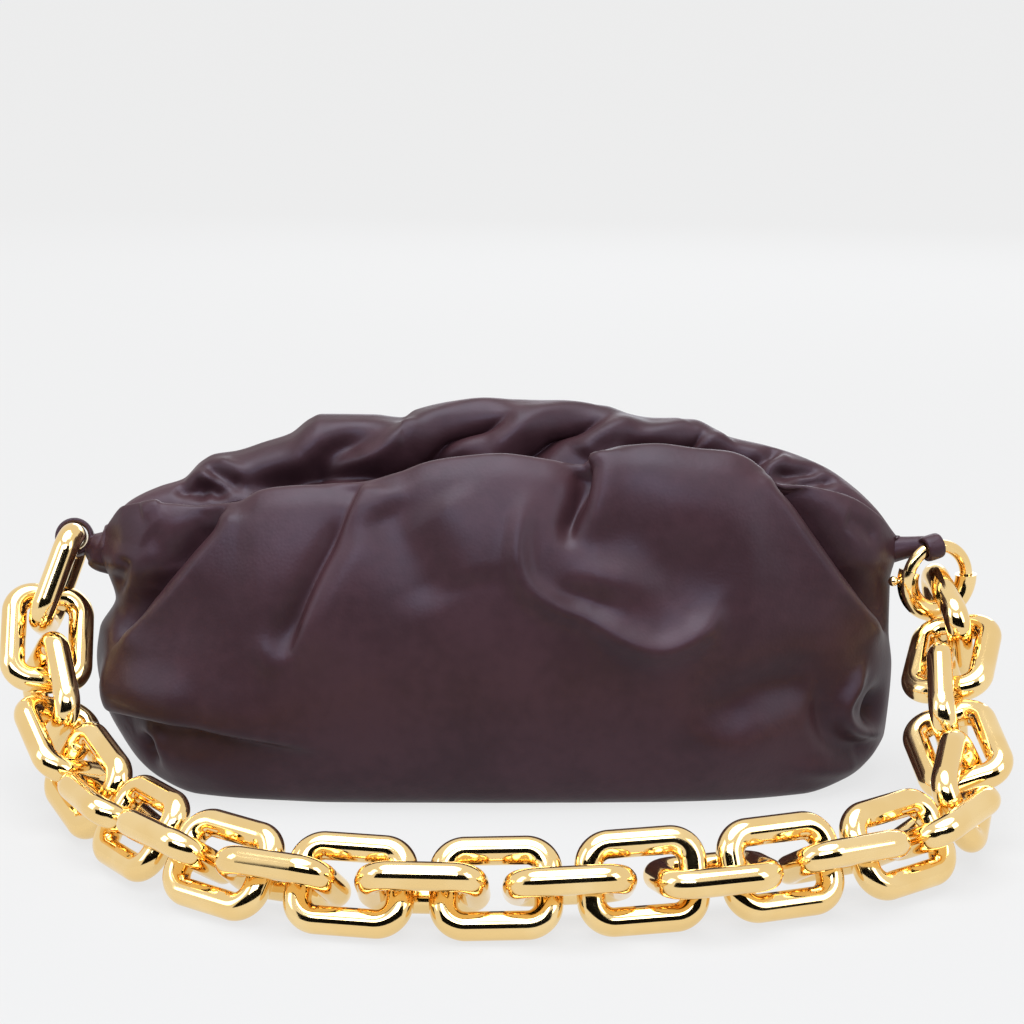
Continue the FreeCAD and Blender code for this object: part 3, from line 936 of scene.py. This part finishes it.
# %% Slip pocket
pocket_half = 0.055
pocket_low, pocket_high = 0.026, 0.076
pocket_leather = 0.0012
pocket_gap = 0.0014
pocket_stand = 0.0035
hem_height = 0.007
hem_edge = 0.0012
hem_thickness = 0.0005

middle_heights = back_inside[stations // 2, :, 2]
in_height = (middle_heights > pocket_low) & (middle_heights < pocket_high)
pocket_rows = np.where(np.abs(back_grid[:, 0, 0]) < pocket_half)[0]
pocket_steps = np.where(in_height & (np.arange(steps_up) < crest_step))[0]
pocket_part = np.ix_(pocket_rows, pocket_steps)
patch = back_inside[pocket_part]
aside = np.clip(patch[..., 0] / pocket_half, -1, 1)
risen = np.clip((patch[..., 2] - pocket_low) / (pocket_high - pocket_low), 0, 1)
hem = smooth_rise((patch[..., 2] - pocket_high + hem_height) / hem_edge)
stand = pocket_gap + pocket_stand * (1 - aside ** 2) * risen ** 2 + hem_thickness * hem
patch = patch - back.normal[pocket_part] * stand[..., None]

slip_pocket = grid_object("slip_pocket_leather", patch, True, leather)
thicken(slip_pocket, pocket_leather)
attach(slip_pocket, "pouch")
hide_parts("slip_pocket")
print("slip pocket", patch.shape)

# %% [markdown]
# The right end of the strap is a spring ring, which stays as it is packed. Two pieces are built round
# it, the right tab and the spring, so its place comes from the joint of its bolt. It is turned a little
# towards the camera and leans in its own plane.

# %% Spring ring
ring_diameter = 0.035
ring_tube = 0.0085
ring_bolt = 0.005
ring_turn, ring_lean = math.radians(22), math.radians(12)
ring_radius = (ring_diameter - ring_tube) / 2
ring_centre = np.array(joints["clasp_slide"]["pos_m"])
ring_level = np.array((math.cos(ring_turn), math.sin(ring_turn), 0))
plumb = np.array((0, 0, 1.0))
ring_across = math.cos(ring_lean) * ring_level + math.sin(ring_lean) * plumb
ring_up = math.cos(ring_lean) * plumb - math.sin(ring_lean) * ring_level


def ring_point(angle):
    """A point on the middle line of the ring's bar, with the angle clockwise from its top."""
    return ring_centre + ring_radius * (math.sin(angle) * ring_across + math.cos(angle) * ring_up)


print("ring top at", ring_point(0).round(4))

# %% [markdown]
# The tabs and the spring are tubes, so one helper turns a row of rings into a closed mesh. The rings
# lie round a line and face along it, and a fixed helper direction keeps them from twisting.

# %% Tubes
def closed_tube(rings, joined):
    """Points and faces of a tube through rings: joined to itself, or with closed ends."""
    count, many = rings.shape[:2]
    faces = []
    for ring in range(count if joined else count - 1):
        here, there = ring * many, (ring + 1) % count * many
        for side in range(many):
            beside = (side + 1) % many
            faces.append((here + side, here + beside, there + beside, there + side))
    if not joined:
        faces += [tuple(range(many))[::-1], tuple(range((count - 1) * many, count * many))]
    return rings.reshape(-1, 3).tolist(), faces


def rings_along(points, radii, turn, helper):
    """Rings round a line of points and square to it. The helper is a direction that it never takes."""
    run = unit(np.gradient(points, axis=0))
    first = unit(np.cross(run, helper))
    second = np.cross(run, first)
    spokes = np.cos(turn)[:, None] * first[:, None] + np.sin(turn)[:, None] * second[:, None]
    return points[:, None] + radii[..., None] * spokes


print("tubes ready")

# %% [markdown]
# At each ear a leather tab holds the strap: a gathered neck on the hinge pin and a band folded
# round the bar of the link or the ring. The two are made as plain overlapping tubes, melted into
# one skin with a voxel remesh and smoothed, which gives the soft join that folded leather has.

# %% Tab shapes
tab_fit = 0.0005
tab_leather = 0.0022
tab_width = 0.0074
neck_straight = 0.004
neck_rings = 26
gather_depth_share = 0.04
gathers, soft_gathers = 9, 5
squareness = 0.6
around = np.linspace(0, 2 * math.pi, 40, endpoint=False)


def neck_tube(path, radii):
    """A round neck along a path, gathered at its start and smooth at its end."""
    points = curve_through(np.array(path), neck_rings)
    shares = np.linspace(0, 1, neck_rings)
    size = smooth_through(list(zip(np.linspace(0, 1, len(radii)), radii)), shares)[:, None]
    depth = gather_depth_share * (1 - shares)[:, None]
    waves = np.cos(gathers * around) + np.cos(soft_gathers * around - 1) / 2
    return closed_tube(rings_along(points, size * (1 + depth * waves), around, plumb), False)


def rounded(wave):
    """A wave with fuller shoulders, which turns a circle into a rounded oblong."""
    return np.sign(wave) * np.abs(wave) ** squareness


def band_tube(centre, axis, middle_radius):
    """A band of folded leather round a bar: rings of a rounded oblong, joined in a circle."""
    first = unit(np.cross(axis, plumb))
    second = np.cross(first, axis)
    out = middle_radius + rounded(np.cos(around)) * tab_leather / 2
    wide = rounded(np.sin(around)) * tab_width / 2
    spokes = np.cos(around)[:, None] * first + np.sin(around)[:, None] * second
    return closed_tube(centre + spokes[:, None] * out[None, :, None] + wide[None, :, None] * axis, True)


print("tab shapes ready")

# %% [markdown]
# The left tab holds the end bar of the first link, whose place is written here as it is packed, and
# the right tab holds the bolt at the ring's top. A neck starts inside the ear, level with the hinge,
# and ends within its band.

# %% Tabs
hinge_height = joints["strap_lift"]["pos_m"][2]
link_bar = 0.010
first_bar_centre = np.array((-0.16827, 0.00112, 0.09675))
first_bar_along = np.array((0.0508, -0.9266, 0.3726))
left_start, right_start = -0.1535, 0.1515
left_neck_radii = (0.0104, 0.0088, 0.0066, 0.0046)
right_neck_radii = (0.0072, 0.0058, 0.0044, 0.0036)
skin_voxel = 0.00032
skin_softness = 0.5
skin_turns = 5


def make_tab(name, start, radii, centre, along, bar):
    axis = unit(along)
    middle_radius = bar / 2 + tab_fit + tab_leather / 2
    start = np.array((start, 0, hinge_height))
    knee = start + (math.copysign(neck_straight, start[0]), 0, 0)
    toward = knee - centre
    meet = centre + unit(toward - axis * np.dot(toward, axis)) * middle_radius
    points, faces = neck_tube([start, knee, (knee + meet) / 2, meet], radii)
    band_points, band_faces = band_tube(centre, axis, middle_radius)
    faces += [tuple(len(points) + corner for corner in face) for face in band_faces]
    tab = mesh_object(name, points + band_points, faces, leather)
    skin = tab.modifiers.new("one_skin", "REMESH")
    skin.mode = "VOXEL"
    skin.voxel_size = skin_voxel
    skin.use_smooth_shade = True
    soft = tab.modifiers.new("soft_join", "SMOOTH")
    soft.factor = skin_softness
    soft.iterations = skin_turns
    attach(tab, "strap_ends")
    print(name, "meets its band at", meet.round(4))
    return tab


left_tab = make_tab("left_tab_leather", left_start, left_neck_radii,
                    first_bar_centre, first_bar_along, link_bar)
right_tab = make_tab("right_tab_leather", right_start, right_neck_radii,
                     ring_point(0), ring_across, ring_bolt)
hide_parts("left_tab")
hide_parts("right_tab")

# %% [markdown]
# Inside the ring's tube a coil spring pushes the bolt shut. The imported solid is a plain sleeve, so
# a wire coil takes its place here, wound along the ring's own arc. One end rests on the end of the
# bore and the other on the bolt.

# %% Coil spring
coil_from, coil_to = math.radians(213), math.radians(276)
coil_radius = 0.0021
coil_turns, steps_per_turn = 4, 28
wire_radius = 0.00028
wire_sides = 10
off_the_wire = (0.3, 0.8, 0.5)


def coil_point(share):
    angle = coil_from + share * (coil_to - coil_from)
    outward = (ring_point(angle) - ring_centre) / ring_radius
    turn = 2 * math.pi * coil_turns * share
    sideways = np.cross(ring_across, ring_up)
    return ring_point(angle) + coil_radius * (math.cos(turn) * outward + math.sin(turn) * sideways)


coil_line = np.array([coil_point(share) for share in np.linspace(0, 1, coil_turns * steps_per_turn)])
wire_turn = np.linspace(0, 2 * math.pi, wire_sides, endpoint=False)
wire_radii = np.full((len(coil_line), wire_sides), wire_radius)
coil_points, coil_faces = closed_tube(rings_along(coil_line, wire_radii, wire_turn, off_the_wire), False)
coil_spring = mesh_object("coil_spring", coil_points, coil_faces, steel)
coil_spring.data.shade_smooth()
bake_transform(coil_spring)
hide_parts("clasp_spring")
print("coil faces", len(coil_faces))

# %% [markdown]
# The studio is a pale floor under a pale sky. The camera and mirror-like surfaces see both as one
# even tone, by their own glow, and the floor still takes a soft part of the shadow. For all other
# light the sky is a dim room, so that the lamps shape the leather.

# %% Floor and sky
floor_half = 12.0
floor_matt = (0.55, 0.55, 0.55, 1)
floor_glow = (0.885, 0.885, 0.885, 1)
glow_share = 0.84
sky_tone = (0.871, 0.871, 0.871, 1)
room_light = (0.95, 0.97, 1.0, 1)
room_strength = 0.18


def make_floor():
    finish = Finish("pale_floor")
    matt = finish.node("BsdfDiffuse", {}, {"Color": floor_matt})
    glow = finish.node("Emission", {}, {"Color": floor_glow})
    mixed = finish.node("MixShader", {}, {0: finish.seen() * glow_share, 1: matt, 2: glow})
    plug(finish.tree.nodes["Material Output"].inputs["Surface"], mixed)
    corners = [(-floor_half, -floor_half, 0), (floor_half, -floor_half, 0),
               (floor_half, floor_half, 0), (-floor_half, floor_half, 0)]
    return mesh_object("floor", corners, [(0, 1, 2, 3)], finish.material)


def make_sky():
    world = bpy.data.worlds.new("studio")
    world.use_nodes = True
    studio = Nodes(world.node_tree)
    room = studio.tree.nodes["Background"]
    plug(room.inputs["Color"], room_light)
    plug(room.inputs["Strength"], room_strength)
    sky = studio.node("Background", {}, {"Color": sky_tone})
    mixed = studio.node("MixShader", {}, {0: studio.seen(), 1: Value(room.outputs[0]), 2: sky})
    plug(studio.tree.nodes["World Output"].inputs["Surface"], mixed)
    return world


make_floor()
bpy.context.scene.world = make_sky()
bpy.context.scene.view_settings.view_transform = "Standard"
print("floor and sky ready")

# %% [markdown]
# A wide soft sun lights the floor evenly. Softboxes above, at the sides and behind round the pouch
# off, and a cool one high in front draws the long sheen on its swells. Polished gold on a white
# ground would look flat, so a black card behind the camera gives it dark lines to reflect.

# %% Lamps
pouch_middle = Vector((0, -0.05, 0.07))
cool_white = (0.86, 0.92, 1.0)
cool_blue = (0.74, 0.83, 1.0)
card_black = (0.01, 0.01, 0.01, 1)


def aim(lamp_object, direction):
    """Turns a lamp, which shines along its own -Z, to a direction."""
    lamp_object.rotation_euler = direction.to_track_quat("-Z", "Y").to_euler()


def softbox(name, place, size, power, colour=cool_white):
    lamp = bpy.data.lights.new(name, "AREA")
    lamp.shape = "RECTANGLE"
    lamp.size, lamp.size_y = size
    lamp.energy = power
    lamp.color = colour
    made = put_in_scene(name, lamp)
    made.location = place
    aim(made, pouch_middle - Vector(place))


def soft_sun(name, direction, power, spread):
    """Even light from a wide disc of the sky, the same on the whole floor."""
    lamp = bpy.data.lights.new(name, "SUN")
    lamp.energy = power
    lamp.angle = math.radians(spread)
    aim(put_in_scene(name, lamp), Vector(direction))


def dark_card(name, low, high):
    """A black upright card that the camera does not see, for the gold to reflect."""
    finish = Finish(name, Base_Color=card_black, Roughness=1.0, Specular_IOR_Level=0.0)
    (left, near, bottom), (right, far, top) = low, high
    corners = [(left, near, bottom), (right, far, bottom), (right, far, top), (left, near, top)]
    card = mesh_object(name, corners, [(0, 1, 2, 3)], finish.material)
    card.visible_camera = False


soft_sun("sky", direction=(0.05, 0.1, -1), power=3.0, spread=50)
softbox("overhead", place=(0.0, -0.2, 1.4), size=(1.2, 0.7), power=4)
softbox("left_side", place=(-1.2, -0.5, 0.8), size=(0.5, 0.8), power=4)
softbox("right_side", place=(1.1, -0.8, 0.8), size=(0.5, 0.8), power=5)
softbox("behind", place=(0.3, 1.6, 0.6), size=(1.2, 0.6), power=6)
softbox("front_high", place=(-0.15, -1.5, 1.25), size=(1.4, 0.5), power=16, colour=cool_blue)
dark_card("dark_front", low=(-2.5, -2.2, 0), high=(2.5, -2.2, 1.7))
print("studio lit")
